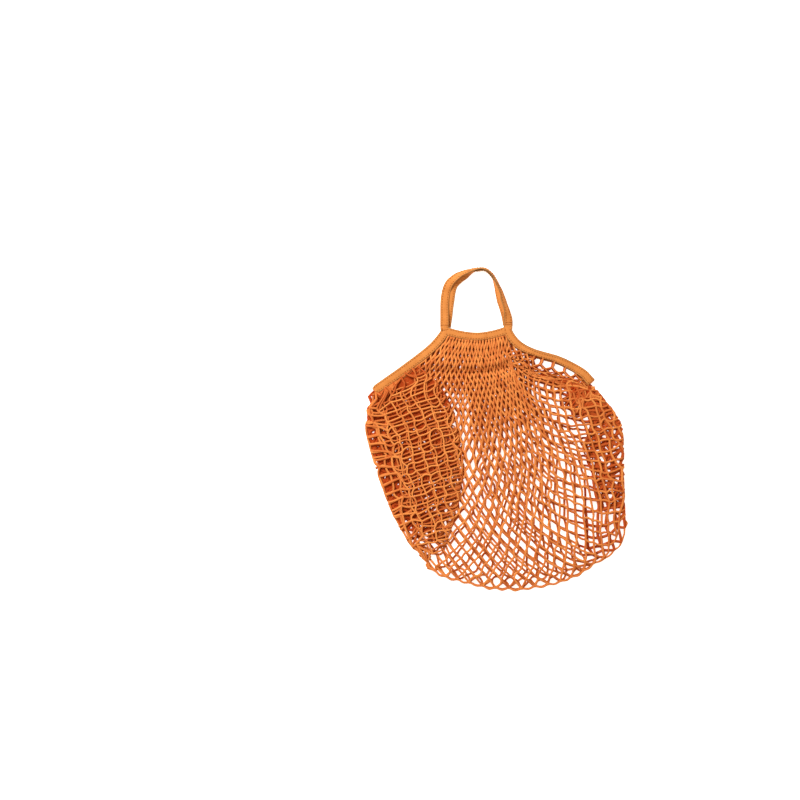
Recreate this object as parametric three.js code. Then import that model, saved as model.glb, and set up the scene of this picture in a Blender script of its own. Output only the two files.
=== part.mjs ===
// String shopping bag: a knotted cotton net, its mouth bound with cotton tape that runs on as two short handles.
// It lies flat with its front up. Millimetres, +Z up, the floor at Z = 0, the handles towards +Y.
import * as THREE from "three";

// Cotton tape, folded double along its length and sewn
const TAPE_WIDTH = 14;
const TAPE_THICKNESS = 2.2;
const BAND_WIDTH = 12.5;
const SEWN_GAP = 0.4;

// Cotton cord of the net, three-sided with its flat face outwards
const CORD_HALF_WIDTH = 1.2;
const CORD_OUTER = 0.8;
const CORD_INNER = 1.6;

// Meshes of the net, counted across the front and down from the mouth
const COLUMNS = 17;
const HALF_ROWS = 20;
const BINDING_KNOTS = 5;

// Heights of the middle of each layer over the floor
const BACK_TAPE_HEIGHT = TAPE_THICKNESS / 2;
const FRONT_TAPE_HEIGHT = 9;
const BACK_NET_HEIGHT = CORD_OUTER;
const FRONT_NET_HEIGHT = 12;
const HANDLE_LIFT = 2.6;
const FOLD_RADIUS = (FRONT_TAPE_HEIGHT - BACK_TAPE_HEIGHT) / 2;
const FOLD_HEIGHT = BACK_TAPE_HEIGHT + FOLD_RADIUS;

// The handle turns on edge at its top, and the back handle lies inside the front one
const HANDLE_TILT = 0.9;
const HANDLE_INSET = 7;

// The net rounds over from front to back within this many columns and rows of its edge
const EDGE_COLUMNS = 2.5;
const EDGE_ROWS = 5;
const BACK_SHIFT_ACROSS = 6;
const BACK_SHIFT_DOWN = 9;

// Middle line of the handle from its right foot to its left foot, and of the tape on both sides of the mouth
const HANDLE_LINE = [
  [22, 162], [22, 172], [11, 210], [-6, 244], [-30, 253], [-60, 243], [-75, 219], [-80, 176], [-80, 160],
];
const LEFT_BINDING_LINE = [
  [-80, 160], [-80, 152], [-100, 128], [-138, 98], [-190, 61],
];
const RIGHT_BINDING_LINE = [
  [22, 162], [22, 153], [37, 134], [62, 120], [105, 107], [152, 80],
];
const BAND_LINE = [
  [-70.5, 153], [-50, 148], [-26, 146], [-4, 149], [12.5, 154],
];

// Outline of the net down both sides from the ends of the mouth, and along its foot
const LEFT_SIDE = [
  [-205, 28], [-207, 10], [-194, -47], [-154, -156], [-113, -215],
];
const RIGHT_SIDE = [
  [175, 50], [194, 20], [205, -28], [211, -119], [180, -207],
];
const FOOT = [
  [-113, -215], [-66, -238], [9, -255], [81, -248], [180, -207],
];

const UP = new THREE.Vector3(0, 0, 1);
const TAPE_COLOUR = 0xe8994a;
const NET_COLOUR = 0xde7c36;

function line(points, height = 0) {
  return new THREE.CatmullRomCurve3(points.map(([x, y]) => new THREE.Vector3(x, y, height)));
}

function sideLine(end, points) {
  return line([[end.x, end.y], ...points]);
}

function leftOf(direction) {
  return new THREE.Vector3().crossVectors(UP, direction).normalize();
}

function closedGeometry(positions, triangles) {
  const geometry = new THREE.BufferGeometry();
  geometry.setAttribute("position", new THREE.Float32BufferAttribute(positions.flat(), 3));
  geometry.setIndex(triangles.flat());
  geometry.computeVertexNormals();
  return geometry;
}

function part(name, geometry, colour, roughness) {
  const material = new THREE.MeshStandardMaterial({ color: colour, roughness, metalness: 0 });
  const mesh = new THREE.Mesh(geometry, material);
  mesh.name = name;
  return mesh;
}

// A tape swept through stations, each with its middle, its direction along and its direction across
function tapeGeometry(stations, width) {
  const positions = [];
  const triangles = [];
  const corners = [[-1, -1], [1, -1], [1, 1], [-1, 1]];
  for (const { middle, along, across } of stations) {
    const face = new THREE.Vector3().crossVectors(along, across);
    for (const [side, top] of corners) {
      const corner = middle.clone();
      corner.addScaledVector(across, (side * width) / 2);
      corner.addScaledVector(face, (top * TAPE_THICKNESS) / 2);
      positions.push(corner.toArray());
    }
  }
  for (let station = 0; station < stations.length - 1; station++) {
    for (let corner = 0; corner < 4; corner++) {
      const near = station * 4 + corner;
      const next = station * 4 + ((corner + 1) % 4);
      triangles.push([near, next, next + 4], [near, next + 4, near + 4]);
    }
  }
  const last = positions.length - 4;
  triangles.push([0, 2, 1], [0, 3, 2], [last, last + 1, last + 2], [last, last + 2, last + 3]);
  return closedGeometry(positions, triangles);
}

// Stations of a flat stretch of tape, kept clear of the seams at its ends by half the sewn gap
function flatStretch(curve, count) {
  const margin = SEWN_GAP / 2 / curve.getLength();
  const stations = [];
  for (let step = 0; step <= count; step++) {
    const at = THREE.MathUtils.lerp(margin, 1 - margin, step / count);
    const along = curve.getTangentAt(at);
    stations.push({ middle: curve.getPointAt(at), along, across: leftOf(along), at });
  }
  return stations;
}

// Stations of a handle: it drops from its feet to the floor, and its inner edge stands up along the top
function handleStretch(count, footHeight, restHeight, inset) {
  const { smoothstep } = THREE.MathUtils;
  const stations = flatStretch(line(HANDLE_LINE), count);
  for (const station of stations) {
    const { at, across } = station;
    const fromFeet = smoothstep(at, 0, 0.3) * smoothstep(1 - at, 0, 0.3);
    const tilt = HANDLE_TILT * smoothstep(at, 0.12, 0.5) * smoothstep(1 - at, 0.12, 0.5);
    const height = THREE.MathUtils.lerp(footHeight, restHeight, fromFeet);
    station.middle.addScaledVector(across, inset * fromFeet);
    station.middle.z = height + (TAPE_WIDTH / 2) * Math.sin(tilt);
    across.multiplyScalar(Math.cos(tilt)).addScaledVector(UP, Math.sin(tilt));
  }
  return stations;
}

// Stations of a tape that folds over at the end of the mouth, from the front down to the back
function foldOver({ middle, along, across }, count) {
  const stations = [];
  for (let step = 1; step < count; step++) {
    const turn = (Math.PI * step) / count;
    const point = middle.clone();
    point.addScaledVector(along, FOLD_RADIUS * Math.sin(turn));
    point.addScaledVector(UP, FOLD_RADIUS * (Math.cos(turn) - 1));
    const direction = along.clone().multiplyScalar(Math.cos(turn));
    direction.addScaledVector(UP, -Math.sin(turn));
    stations.push({ middle: point, along: direction, across });
  }
  return stations;
}

// The same stretch run backwards with its other face up, lying on the floor
function underneath(stations) {
  return stations.toReversed().map(({ middle, along, across }) => ({
    middle: new THREE.Vector3(middle.x, middle.y, BACK_TAPE_HEIGHT),
    along: along.clone().negate(),
    across,
  }));
}

function faceDown(stations) {
  return stations.map(({ middle, along, across }) => ({ middle, along, across: across.clone().negate() }));
}

function bindingStretch(points) {
  const front = flatStretch(line(points, FRONT_TAPE_HEIGHT), 22);
  return [...front, ...foldOver(front.at(-1), 6), ...underneath(front)];
}

// One tape is the front handle and the left binding, the other the right binding and the back handle
function frontHandleTape() {
  const restHeight = BACK_TAPE_HEIGHT + HANDLE_LIFT;
  const handle = handleStretch(44, FRONT_TAPE_HEIGHT, restHeight, 0);
  return tapeGeometry([...handle, ...bindingStretch(LEFT_BINDING_LINE).slice(1)], TAPE_WIDTH);
}

function backHandleTape() {
  const handle = handleStretch(44, BACK_TAPE_HEIGHT, BACK_TAPE_HEIGHT, HANDLE_INSET);
  const stations = [...bindingStretch(RIGHT_BINDING_LINE), ...faceDown(handle).slice(1)];
  return tapeGeometry(stations, TAPE_WIDTH);
}

function band(height) {
  return tapeGeometry(flatStretch(line(BAND_LINE, height), 16), BAND_WIDTH);
}

// Knots along the mouth, just clear of the tape that holds them
function mouthKnots() {
  const reach = SEWN_GAP + CORD_HALF_WIDTH;
  const bandKnots = COLUMNS + 1 - 2 * BINDING_KNOTS;
  const knots = [];
  function addAlong(curve, at, offset) {
    const across = leftOf(curve.getTangentAt(at));
    knots.push(curve.getPointAt(at).addScaledVector(across, offset));
  }
  for (let knot = 0; knot < BINDING_KNOTS; knot++) {
    const at = THREE.MathUtils.lerp(1, 0.22, knot / (BINDING_KNOTS - 1));
    addAlong(line(LEFT_BINDING_LINE), at, TAPE_WIDTH / 2 + reach);
  }
  for (let knot = 0; knot < bandKnots; knot++) {
    addAlong(line(BAND_LINE), (knot + 0.5) / bandKnots, -BAND_WIDTH / 2 - reach);
  }
  for (let knot = 0; knot < BINDING_KNOTS; knot++) {
    const at = THREE.MathUtils.lerp(0.22, 1, knot / (BINDING_KNOTS - 1));
    addAlong(line(RIGHT_BINDING_LINE), at, -TAPE_WIDTH / 2 - reach);
  }
  return knots;
}

const mouth = new THREE.CatmullRomCurve3(mouthKnots());
const leftSide = sideLine(mouth.getPoint(0), LEFT_SIDE);
const rightSide = sideLine(mouth.getPoint(1), RIGHT_SIDE);
const foot = line(FOOT);

// A point of the flat net between its mouth, sides and foot; across runs from left to right, down from the mouth
function netPoint(across, down) {
  const point = mouth.getPoint(across).multiplyScalar(1 - down);
  point.addScaledVector(foot.getPointAt(across), down);
  point.addScaledVector(leftSide.getPointAt(down), 1 - across);
  point.addScaledVector(rightSide.getPointAt(down), across);
  point.addScaledVector(leftSide.getPoint(0), -(1 - across) * (1 - down));
  point.addScaledVector(rightSide.getPoint(0), -across * (1 - down));
  point.addScaledVector(foot.getPoint(0), -(1 - across) * down);
  point.addScaledVector(foot.getPoint(1), -across * down);
  return point;
}

// A knot on the front or back of the bag, with the direction that points out of the bag there
function placeKnot(onFront, row, column) {
  const across = column / COLUMNS;
  const down = row / HALF_ROWS;
  const fromSide = (Math.min(across, 1 - across) * COLUMNS) / EDGE_COLUMNS;
  const fromFoot = ((1 - down) * HALF_ROWS) / EDGE_ROWS;
  const inwards = Math.min(1, fromSide, fromFoot);
  const flatness = Math.sqrt(1 - (1 - inwards) ** 2);
  const outwards = new THREE.Vector3();
  if (fromSide <= fromFoot) outwards.x = across < 0.5 ? -1 : 1;
  if (fromFoot <= fromSide) outwards.y = -1;
  const frontHeight = THREE.MathUtils.lerp(
    FRONT_TAPE_HEIGHT, FRONT_NET_HEIGHT, THREE.MathUtils.smoothstep(down, 0, 0.3),
  );
  const at = netPoint(across, down);
  if (!onFront) {
    const shift = Math.sin(Math.PI * across) * Math.sin(Math.PI * down);
    at.x += BACK_SHIFT_ACROSS * shift;
    at.y -= BACK_SHIFT_DOWN * shift;
  }
  at.z = THREE.MathUtils.lerp(FOLD_HEIGHT, onFront ? frontHeight : BACK_NET_HEIGHT, flatness);
  const out = outwards.multiplyScalar(1 - flatness).addScaledVector(UP, onFront ? flatness : -flatness);
  return { at, out: out.normalize(), cords: [] };
}

// The bag's knots and the cords between them: front and back share the knots of both sides and of the foot
function tieNet() {
  const knots = [];
  const names = new Map();
  const cords = [];
  function knotAt(onFront, row, column) {
    const shared = row === HALF_ROWS || column === 0 || column === COLUMNS;
    const name = `${shared || onFront} ${row} ${column}`;
    if (!names.has(name)) {
      names.set(name, knots.length);
      knots.push(placeKnot(onFront || shared, row, column));
    }
    return names.get(name);
  }
  for (const onFront of [true, false]) {
    for (let row = 0; row < HALF_ROWS; row++) {
      const lean = row % 2 === 0 ? 1 : -1;
      for (let gap = 0; gap < COLUMNS; gap++) {
        for (const end of [gap, gap + 1]) {
          const middle = gap + 0.5;
          const upper = knotAt(onFront, row, lean > 0 ? end : middle);
          const lower = knotAt(onFront, row + 1, lean > 0 ? middle : end);
          cords.push([upper, lower]);
        }
      }
    }
  }
  cords.forEach(([upper, lower]) => {
    knots[upper].cords.push({ other: lower });
    knots[lower].cords.push({ other: upper });
  });
  return { knots, cords };
}

// Each knot gets one point inside the bag and one outer corner between each two neighbouring cords
function shapeKnot(knots, knot, positions) {
  const { at, out, cords } = knot;
  const east = new THREE.Vector3(0.6, 0.8, 0).cross(out).normalize();
  const north = new THREE.Vector3().crossVectors(out, east);
  for (const cord of cords) {
    const reach = knots[cord.other].at.clone().sub(at);
    cord.angle = Math.atan2(reach.dot(north), reach.dot(east));
    cord.length = reach.length();
  }
  cords.sort((one, other) => one.angle - other.angle);
  knot.inner = positions.length;
  positions.push(at.clone().addScaledVector(out, -CORD_INNER).toArray());
  cords.forEach((cord, index) => {
    const next = cords[(index + 1) % cords.length];
    const turn = THREE.MathUtils.euclideanModulo(next.angle - cord.angle, 2 * Math.PI) / 2;
    const mitre = CORD_HALF_WIDTH / Math.sin(Math.min(turn, Math.PI / 2));
    const reach = Math.min(mitre, 0.35 * Math.min(cord.length, next.length));
    const corner = at.clone().addScaledVector(out, CORD_OUTER);
    corner.addScaledVector(east, reach * Math.cos(cord.angle + turn));
    corner.addScaledVector(north, reach * Math.sin(cord.angle + turn));
    cord.left = positions.length;
    next.right = positions.length;
    positions.push(corner.toArray());
  });
}

function netGeometry() {
  const { knots, cords } = tieNet();
  const positions = [];
  const triangles = [];
  for (const knot of knots) {
    shapeKnot(knots, knot, positions);
    const corners = knot.cords.map((cord) => cord.left);
    for (let corner = 1; corner < corners.length - 1; corner++) {
      triangles.push([corners[0], corners[corner], corners[corner + 1]]);
    }
  }
  for (const [from, to] of cords) {
    const near = knots[from].cords.find((cord) => cord.other === to);
    const far = knots[to].cords.find((cord) => cord.other === from);
    const nearInner = knots[from].inner;
    const farInner = knots[to].inner;
    triangles.push([near.right, far.left, far.right], [near.right, far.right, near.left]);
    triangles.push([near.left, far.right, farInner], [near.left, farInner, nearInner]);
    triangles.push([far.left, near.right, nearInner], [far.left, nearInner, farInner]);
  }
  return closedGeometry(positions, triangles);
}

const bag = new THREE.Group();
bag.add(part("net", netGeometry(), NET_COLOUR, 0.9));
bag.add(part("band_front", band(FRONT_TAPE_HEIGHT), TAPE_COLOUR, 0.85));
bag.add(part("band_back", band(BACK_TAPE_HEIGHT), TAPE_COLOUR, 0.85));
bag.add(part("tape_front_handle", frontHandleTape(), TAPE_COLOUR, 0.85));
bag.add(part("tape_back_handle", backHandleTape(), TAPE_COLOUR, 0.85));

// The origin is under the middle of the bag, on the floor
const bounds = new THREE.Box3().setFromObject(bag, true);
const middle = bounds.getCenter(new THREE.Vector3());
bag.position.set(-middle.x, -middle.y, -bounds.min.z);

export default bag;
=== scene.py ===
import bpy
import numpy as np
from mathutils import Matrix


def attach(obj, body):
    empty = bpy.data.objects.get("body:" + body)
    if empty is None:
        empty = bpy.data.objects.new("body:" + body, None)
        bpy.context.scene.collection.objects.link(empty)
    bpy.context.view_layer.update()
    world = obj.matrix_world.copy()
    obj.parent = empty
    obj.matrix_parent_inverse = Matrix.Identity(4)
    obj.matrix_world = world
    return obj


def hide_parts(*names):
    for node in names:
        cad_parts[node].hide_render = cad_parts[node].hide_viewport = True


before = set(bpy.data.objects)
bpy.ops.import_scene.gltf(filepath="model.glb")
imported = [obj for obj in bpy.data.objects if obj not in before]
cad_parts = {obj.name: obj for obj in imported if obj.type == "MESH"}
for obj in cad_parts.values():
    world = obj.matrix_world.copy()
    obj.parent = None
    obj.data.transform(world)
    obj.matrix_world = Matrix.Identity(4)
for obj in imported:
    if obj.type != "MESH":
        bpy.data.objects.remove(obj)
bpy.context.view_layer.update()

# The net
# A sack of knotted cotton cord, tied in one piece and sewn into the tapes along its mouth, with fine meshes
# by the mouth, where it is gathered, and larger ones below. It lies flat, front up, in two layers. It is
# wider than it lies, so its left side is folded over on top, and its right side and its foot under.

# Sizes in millimetres, with columns counted by meshes and rows by knots from the mouth down
MESH_SIDE = 17.4
SMALL_MESH_SIDE = 9.2
LAST_SMALL_ROW = 11
FIRST_LARGE_ROW = 17
COLUMNS = 55
LEFT_COLUMNS = 24
RIGHT_COLUMNS = 9
RIGHT_START = COLUMNS - RIGHT_COLUMNS
MIDDLE_COLUMN = (LEFT_COLUMNS + RIGHT_START) / 2
FOOT_ROW = 34
SPARE_ROWS = 21
SPARE_COLUMNS = 29
TAPE_WIDTH = 14.0
BACK_TAPE_HEIGHT = 2.1
FRONT_TAPE_HEIGHT = 9.0

# Cord widths: a cord is thin where it is taut or packed, and opens its twist where it lies slack
CORD_WIDTH = 3.9
TAUT_CORD_WIDTH = 3.0
UPPER_CORD_WIDTH = 3.3
SLACK_CORD_WIDTH = 5.0
PACKED_CORD_WIDTH = 2.3

# Lines of the net's edges and folds as seen from above, x to the right and y to the handles
LEFT_BINDING = [(-83, 159), (-83, 151), (-103, 127), (-141, 97), (-193, 60)]
BAND = [(-79, 153), (-53, 147), (-29, 145), (-7, 148), (15, 154)]
RIGHT_BINDING = [(19, 161), (19, 152), (34, 133), (59, 119), (102, 106), (136, 88), (150, 74)]
LEFT_SIDE = [(-199, 49), (-209, 14), (-204, -25), (-180, -102), (-150, -170), (-114, -217)]
FOOT = [(-114, -217), (-66, -240), (6, -256), (78, -250), (151, -221), (189, -188), (205, -135)]
RIGHT_SIDE = [(157, 65), (173, 43), (186, 27), (199, 6), (203, -26), (205, -135)]
FLAP_BORDER = [
    (-128, 98), (-105, 80), (-85, 57), (-68, 15), (-56, -40),
    (-55, -85), (-66, -140), (-85, -195), (-114, -217),
]
UNDER_BORDER = [(205, -135), (168, -118), (158, -70), (140, -20), (136, 30), (140, 60)]
SPAN_STEPS = 24
LINE_STEPS = 200
draws = np.random.default_rng(3)


def smoothstep(value, start, end):
    """Nothing up to the start, one from the end on, and a smooth rise between."""
    share = np.clip((value - start) / (end - start), 0, 1)
    return share * share * (3 - 2 * share)


def mix(first, second, share):
    return first + (second - first) * share


def pick(where, points, others):
    """The points where they are wanted, and the others elsewhere."""
    return np.where(where[:, None], points, others)


def read_off(place, stops):
    """A value at a place between stops, which are pairs of a place and the value there."""
    return np.interp(place, *np.array(stops, float).T)


def points_at(places, stops, points):
    """Points at places along a line, where the stops are the places of the line's own points."""
    return np.stack([np.interp(places, stops, axis) for axis in points.T], -1)


def line_reach(points):
    """How far along a line each of its points lies."""
    return np.concatenate([[0], np.cumsum(np.linalg.norm(np.diff(points, axis=0), axis=1))])


def smooth_span(start, end, slope_in, slope_out, share):
    """Points on a smooth curve from start to end, with the slopes that it has there."""
    bend = 3 * (end - start) - 2 * slope_in - slope_out
    twist = 2 * (start - end) + slope_in + slope_out
    return start + slope_in * share + bend * share ** 2 + twist * share ** 3


def smooth_line(points, count):
    """Points at even steps along a smooth curve through the given points."""
    points = np.array(points, float)
    padded = np.concatenate([[2 * points[0] - points[1]], points, [2 * points[-1] - points[-2]]])
    share = np.linspace(0, 1, SPAN_STEPS, endpoint=False)[:, None]
    spans = []
    for before, start, end, after in zip(padded, padded[1:], padded[2:], padded[3:]):
        spans.append(smooth_span(start, end, (end - before) / 2, (after - start) / 2, share))
    curve = np.concatenate([*spans, points[-1:]])
    reach = line_reach(curve)
    return points_at(np.linspace(0, reach[-1], count), reach, curve)


class Lattice:
    """The knots of one half of the bag, by row and by place across, and the cords between them."""

    def __init__(self):
        number = {}
        for row in range(FOOT_ROW + SPARE_ROWS + 1):
            last = COLUMNS if row <= FOOT_ROW else (FOOT_ROW - row) / 2 + SPARE_COLUMNS
            for place in np.arange(0.5 * (row % 2), last + 0.25):
                number[(row, float(place))] = len(number)
        self.row = np.array([row for row, place in number])
        self.place = np.array([place for row, place in number])
        cords = []
        through = []
        beside = []
        for (row, place), knot in number.items():
            if (row, place + 1) in number:
                beside.append((knot, number[(row, place + 1)]))
            for lean in (0.5, -0.5):
                before = number.get((row - 1, place - lean))
                after = number.get((row + 1, place + lean))
                if after is None:
                    continue
                beyond = number.get((row + 2, place + 2 * lean), after)
                cords.append((knot if before is None else before, knot, after, beyond))
                if before is not None:
                    through.append((before, knot, after))
        self.cords = np.array(cords)
        self.starts = self.cords[:, 1]
        self.ends = self.cords[:, 1:3]
        self.through = np.array(through)
        self.beside = np.array(beside)
        mesh_stops = [(LAST_SMALL_ROW, SMALL_MESH_SIDE), (FIRST_LARGE_ROW, MESH_SIDE)]
        self.mesh_side = read_off(self.row[self.starts], mesh_stops)


class Fold:
    """A line over which the net is folded back. Outwards is one fixed direction, square to its chord."""

    def __init__(self, points, towards):
        points = np.array(points, float)
        chord = points[-1] - points[0]
        self.along = chord / np.linalg.norm(chord)
        outwards = np.array([self.along[1], -self.along[0]])
        self.out = outwards * np.sign(outwards @ towards)
        line = smooth_line(points, 150)
        self.line_along = line @ self.along
        self.line_out = line @ self.out

    def reach(self, spots):
        """How far each point lies outside the line, less than nothing inside it."""
        return spots @ self.out - np.interp(spots @ self.along, self.line_along, self.line_out)

    def moved(self, spots, reach):
        """The points brought straight out or in to a given reach."""
        return spots + (reach - self.reach(spots))[:, None] * self.out

    def mirrored(self, spots):
        return self.moved(spots, -self.reach(spots))


net = Lattice()
left_fold = Fold(LEFT_SIDE, (-1, 0))
right_fold = Fold(RIGHT_SIDE, (1, 0))
flap_fold = Fold(FLAP_BORDER, (1, 0))
mouth_folds = (Fold(LEFT_BINDING, (-1, 1)), Fold(BAND, (0, 1)), Fold(RIGHT_BINDING, (1, 1)))
left_tape = mouth_folds[0]

# Where the net is held: along the mouth, along the foot, in the left flap and bunched by the right binding
LEFT_NET_SHARE = 0.85
RIGHT_NET_SHARES = [(0, 0.15), (4, 0.45), (7.4, 0.82), (9, 1)]
FLAP_COLUMNS = 28
FOOT_COLUMNS = 18.6
FLAP_CORNER = (-200, 37)
FLAP_CORNER_ROW = 14
FLAP_CORNER_PLACE = 20
FLAP_ACROSS = (0.951, 0.309)
FLAP_DOWN = (3.1, -12.6)
FLAP_MESH = 17.0
FLAP_START = 1.2
FLAP_DEPTH = 19.5
FLAP_FIRST_ROW = 5
CRUMPLED_MESHES = 3
CRUMPLED_MESH = 8.0
TUCKED_GAP = 5
TUCKED_REACH = -1
TUCKED_STRETCH = (12, 120)
BUNCHED_ROWS = 8
BUNCHED_START = RIGHT_START + 0.7
RIGHT_LOOPS = [(0, 3), (1, 4), (3, 5), (4, 13), (6.8, 13), (7.5, 9), (9, 3)]
RIGHT_ROW_GAPS = [(3, 3.4), (7, 2.9), (9, 2)]
RIGHT_ROWS_DOWN = [(1, 0), (3, 1.4), (8, 6.4)]
RIGHT_END_DIRECTION = (0.1, -0.8)


def mouth_points(places):
    """Where the net's top row is sewn into the tapes, at places counted in columns."""
    columns = np.arange(COLUMNS + 1)
    stretches = (
        (LEFT_BINDING, 1 - LEFT_NET_SHARE * columns / LEFT_COLUMNS),
        (BAND, (columns - LEFT_COLUMNS) / (RIGHT_START - LEFT_COLUMNS)),
        (RIGHT_BINDING, read_off(columns - RIGHT_START, RIGHT_NET_SHARES)),
    )
    sewn = []
    for line, shares in stretches:
        steps = np.clip((LINE_STEPS - 1) * shares, 0, LINE_STEPS - 1).astype(int)
        sewn.append(smooth_line(line, LINE_STEPS)[steps])
    points = pick(columns < LEFT_COLUMNS, sewn[0], sewn[1])
    points = pick(columns > RIGHT_START, sewn[2], points)
    return points_at(places, columns, points)


def foot_points(places):
    """Where the knots of the lowest row lie, before the right side is folded back."""
    lines = (smooth_line(FOOT, 100), right_fold.mirrored(smooth_line(UNDER_BORDER, 100)))
    stops = (FLAP_COLUMNS, FLAP_COLUMNS + FOOT_COLUMNS, COLUMNS)
    line_places = np.concatenate([np.linspace(start, end, 100) for start, end in zip(stops, stops[1:])])
    return points_at(places, line_places, np.concatenate(lines))


def flap_points():
    """Which knots the folded-over left side holds, which lie on that side, and where they lie unfolded."""
    turned = 2 * (net.place - FLAP_CORNER_PLACE)
    rows_on = net.row - FLAP_CORNER_ROW
    across = (rows_on - turned) / 2
    down = (rows_on + turned) / 2
    crumpled = np.minimum(across, CRUMPLED_MESHES)
    reach = crumpled * CRUMPLED_MESH + (across - crumpled) * FLAP_MESH
    seen = FLAP_CORNER + np.outer(reach, FLAP_ACROSS) + np.outer(down, FLAP_DOWN)
    below_tape = left_tape.reach(seen) < -TAPE_WIDTH / 2 - TUCKED_GAP
    far_end = left_tape.line_along.max()
    along = far_end - np.clip(far_end - seen @ left_tape.along, *TUCKED_STRETCH)
    tucked = left_tape.moved(seen, TUCKED_REACH)
    tucked = tucked + np.outer(along - tucked @ left_tape.along, left_tape.along)
    seen = pick(below_tape, seen, left_tape.moved(tucked, TUCKED_REACH))
    lower_rows = net.row > FLAP_FIRST_ROW
    shown = below_tape | (lower_rows & (net.place < FLAP_CORNER_PLACE))
    held = (across > FLAP_START) & (down < FLAP_DEPTH) & shown
    return held, (across > FLAP_START) & lower_rows, left_fold.mirrored(seen)


def bunched_points():
    """Which knots lie bunched under the right binding, and where."""
    column = net.place - RIGHT_START
    rows_down = read_off(net.row, RIGHT_ROWS_DOWN)
    depth = read_off(column, RIGHT_LOOPS) + read_off(column, RIGHT_ROW_GAPS) * rows_down
    held = (net.row > 0) & (net.row < BUNCHED_ROWS) & (net.place > BUNCHED_START)
    at_end = smoothstep(net.place, RIGHT_START + 4, COLUMNS)[:, None]
    inwards = -mouth_folds[2].out * (1 - at_end) + np.array(RIGHT_END_DIRECTION) * at_end
    return held, mouth_points(net.place) + np.where(net.row > 0, depth, 0)[:, None] * inwards


# How the rest of the net hangs between those places: taut cords pull, slack ones push a little
SLACK_LOOP = (70, -40)
LENGTH_SPREAD = 0.06
TAUT_GIVE = 0.9
SLACK_GIVE = 0.1
SPREAD_GIVE = 0.03
GATHER_GIVE = 0.08
STIFFNESS = 0.05
SMALLEST_LENGTH = 0.1
GATHER_COLUMN = MIDDLE_COLUMN + 1
OPEN_WIDTH = 22
GATHERED_WIDTHS = [(0, 4.5), (6, 7.3), (11, 7.8), (16, 9), (20, 12), (23, 17.5), (26, 22), (34, 24)]
HANGING_STEPS = 2500


def pulled(pairs, moves):
    """How far each knot moves when the knots of each pair move towards each other."""
    total = np.zeros((len(net.row), 2))
    np.add.at(total, pairs[:, 0], moves)
    np.add.at(total, pairs[:, 1], -moves)
    return total


def hang_net():
    """Lays one half out flat between its mouth, its foot and its left flap, with cords taut or slack."""
    mouth = mouth_points(net.place)
    foot = foot_points(net.place)
    in_flap, on_left_side, flap = flap_points()
    bunched, bunch = bunched_points()
    at_mouth = net.row == 0
    at_foot = (net.row == FOOT_ROW) & (net.place >= FLAP_COLUMNS) & ~in_flap
    down = net.row / FOOT_ROW
    slack_loop = np.sin(np.pi * down) * np.clip((net.place - RIGHT_START - 3) / 6, 0, 1)
    spots = mix(mouth, foot, down[:, None]) + np.outer(slack_loop, SLACK_LOOP)
    spots = pick(on_left_side, flap, spots)
    cords_at = np.bincount(net.ends.ravel(), minlength=len(spots))[:, None]
    rest = net.mesh_side * (1 + LENGTH_SPREAD * draws.standard_normal(len(net.ends)))
    off_gather = net.place - GATHER_COLUMN
    opened = 0.65 + 0.85 * smoothstep(net.row, 7, 11)
    in_middle = 1 - smoothstep(np.where(off_gather < 0, -opened * off_gather, off_gather - 1.5), 7.5, 13)
    widths = mix(read_off(net.row, GATHERED_WIDTHS), OPEN_WIDTH, 1 - in_middle)[net.beside[:, 0]]
    draw_in = (GATHER_GIVE * in_middle * (1 - smoothstep(net.row, 18, 24)))[net.beside[:, 0]]
    before, middle, after = net.through.T
    for step in range(HANGING_STEPS):
        reach = spots[net.ends[:, 1]] - spots[net.ends[:, 0]]
        length = np.linalg.norm(reach, axis=1)
        stretch = length - rest
        give = np.where(stretch > 0, TAUT_GIVE, SLACK_GIVE) * stretch / np.maximum(length, SMALLEST_LENGTH)
        spots += pulled(net.ends, give[:, None] * reach) / cords_at
        reach = spots[net.beside[:, 1]] - spots[net.beside[:, 0]]
        length = np.linalg.norm(reach, axis=1)
        gap = length - widths
        shut = np.where(gap < 0, SPREAD_GIVE, draw_in) * gap / np.maximum(length, SMALLEST_LENGTH)
        spots += pulled(net.beside, shut[:, None] * reach)
        straighten = np.zeros_like(spots)
        np.add.at(straighten, middle, STIFFNESS * ((spots[before] + spots[after]) / 2 - spots[middle]))
        spots += straighten
        spots[at_mouth] = mouth[at_mouth]
        spots[at_foot] = foot[at_foot]
        spots[in_flap] = flap[in_flap]
        spots[bunched] = bunch[bunched]
    return spots


def new_waves():
    return {(first, second): draws.standard_normal(2) for first in range(4) for second in range(4)}


def drift(spots, waves):
    """A smooth wander over the net, about one millimetre either way."""
    across = (spots[:, :1] + 210) / 420
    down = (spots[:, 1:2] + 260) / 420
    total = np.zeros_like(spots)
    for (first, second), amount in waves.items():
        wave = np.cos(np.pi * first * across + second) * np.cos(np.pi * second * down + first)
        total += amount * wave / (1 + first + second)
    return total


# Heights of the layers' middles over the floor, and of the folds between them
FRONT_LAYERS = {"open": 10.8, "below flap": 4.2, "pleat": 9.4, "flap": 11.6, "spare": 6.6, "under": 2.3}
BACK_LAYERS = {"open": 2.3, "below flap": 2.3, "pleat": 6.6, "flap": 13.4, "spare": 5.2, "under": 4.3}
LEFT_FOLD_HEIGHT = 6.7
FLAP_BORDER_HEIGHT = 8.7
RIGHT_FOLD_HEIGHT = 5.4
FOOT_HEIGHT = 5.4
FRONT_SEWN_HEIGHT = FRONT_TAPE_HEIGHT - 1.4
BACK_SEWN_HEIGHT = BACK_TAPE_HEIGHT + 0.6
TUCKED_HEIGHT = (FRONT_TAPE_HEIGHT + BACK_TAPE_HEIGHT) / 2
LOWEST_HEIGHT = SLACK_CORD_WIDTH / 2
FOLD_ROUNDING = 12
SPARE_REACH = -4
SPARE_DROP = 3.4
COVERED_GAP = 4
LEDGE_ROW = 5.3
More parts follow.
